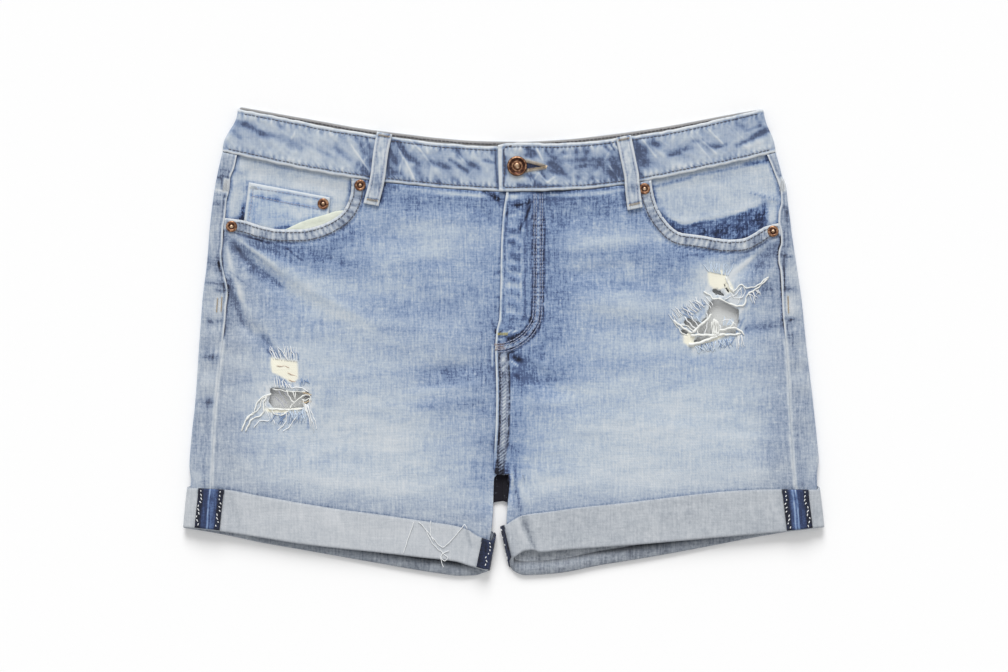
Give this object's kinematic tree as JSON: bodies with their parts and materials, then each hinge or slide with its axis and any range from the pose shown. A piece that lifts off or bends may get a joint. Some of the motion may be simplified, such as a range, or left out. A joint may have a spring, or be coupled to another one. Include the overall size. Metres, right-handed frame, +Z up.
{
  "type": "denim shorts laid flat",
  "caption": "Rolled-cuff denim shorts laid flat on their back: waistband, belt loops, front pockets, coin pocket, closed zip fly with one button, worn-through holes and turned-up cuffs.",
  "frame": {"origin": "middle of the outline, on the surface that the shorts lie on", "axes": "+X from the left leg in view to the right leg, +Y towards the waist, +Z up out of the front"},
  "size_m": [0.5442, 0.398, 0.0122],
  "materials": {
    "denim": "faded stone-washed blue twill, matte",
    "denim_back": "faded blue twill, matte, its wrong side pale grey",
    "facing": "blue twill, darker where the pocket's mouth shades it",
    "cuff": "wrong side of the denim, pale grey, matte",
    "indigo": "unfaded indigo twill, matte",
    "pocketing": "cream cotton pocketing, matte",
    "copper": "aged copper, satin",
    "thread": "cotton sewing thread and bare yarn, matte"
  },
  "bodies": {
    "root": {"front_panel_left": "denim", "front_panel_right": "denim", "back_panel_left": "denim_back", "back_panel_right": "denim_back", "waistband": "denim", "belt_loop_left": "denim", "belt_loop_right": "denim", "pocket_facing_left": "facing", "pocket_facing_right": "facing", "coin_pocket": "denim", "pocket_bag_left": "pocketing", "cuff_left": "cuff", "cuff_right": "cuff", "cuff_tab_left_outer": "indigo", "cuff_tab_left_inner": "indigo", "cuff_tab_right_outer": "indigo", "cuff_tab_right_inner": "indigo", "button": "copper", "rivet_left_side": "copper", "rivet_left_inner": "copper", "rivet_coin": "copper", "rivet_right_inner": "copper", "rivet_right_side": "copper"}
  },
  "joints": []
}
